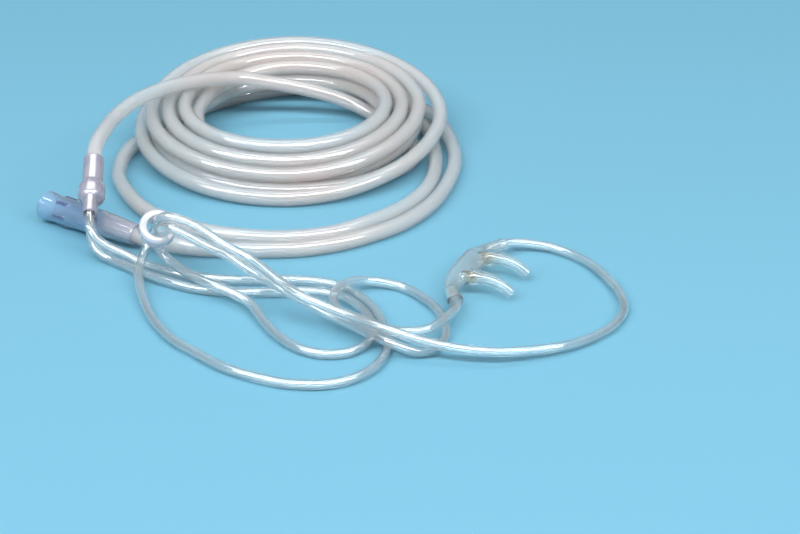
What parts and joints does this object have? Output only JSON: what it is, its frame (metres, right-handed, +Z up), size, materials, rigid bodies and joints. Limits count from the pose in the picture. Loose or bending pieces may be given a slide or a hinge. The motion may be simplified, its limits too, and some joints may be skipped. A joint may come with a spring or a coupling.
{
  "type": "nasal_cannula",
  "caption": "Nasal oxygen cannula: two-prong nosepiece on a looped headset with slider and collar, wound supply tube and a ribbed blue source connector.",
  "frame": {"origin": "Under the middle of the bounding box of the four fittings (nosepiece, collar, slider, source connector), on the floor that the cannula lies on.", "axes": "+Z up from the floor. The source connector lies along X and its open mouth faces -X; +Y points to the wound supply tube."},
  "size_m": [0.2488, 0.2239, 0.0312],
  "materials": {
    "clear_nose_vinyl": "clear soft vinyl with a slight amber tint at the edges",
    "clear_tube_vinyl": "clear glossy soft vinyl tube",
    "clear_soft_vinyl": "clear, slightly milky soft vinyl",
    "lilac_vinyl": "translucent grey-lilac soft vinyl",
    "milky_tube_vinyl": "glossy translucent soft vinyl tube, cream to pale grey",
    "blue_vinyl": "translucent blue soft vinyl with faint purple grip ribs"
  },
  "bodies": {
    "cannula": {"nosepiece": "clear_nose_vinyl", "headset_tube_a": "clear_tube_vinyl", "headset_tube_b": "clear_tube_vinyl", "collar": "lilac_vinyl", "supply_lead": "milky_tube_vinyl", "supply_coil": "milky_tube_vinyl", "supply_tail": "milky_tube_vinyl", "source_connector": "blue_vinyl"},
    "slider": {"slider": "clear_soft_vinyl"}
  },
  "joints": [
    {"name": "slider_along_tubes", "type": "slide", "parent": "cannula", "child": "slider", "axis": [-0.5399, 0.3959, -0.7428], "range_m": [0, 0.003]}
  ]
}
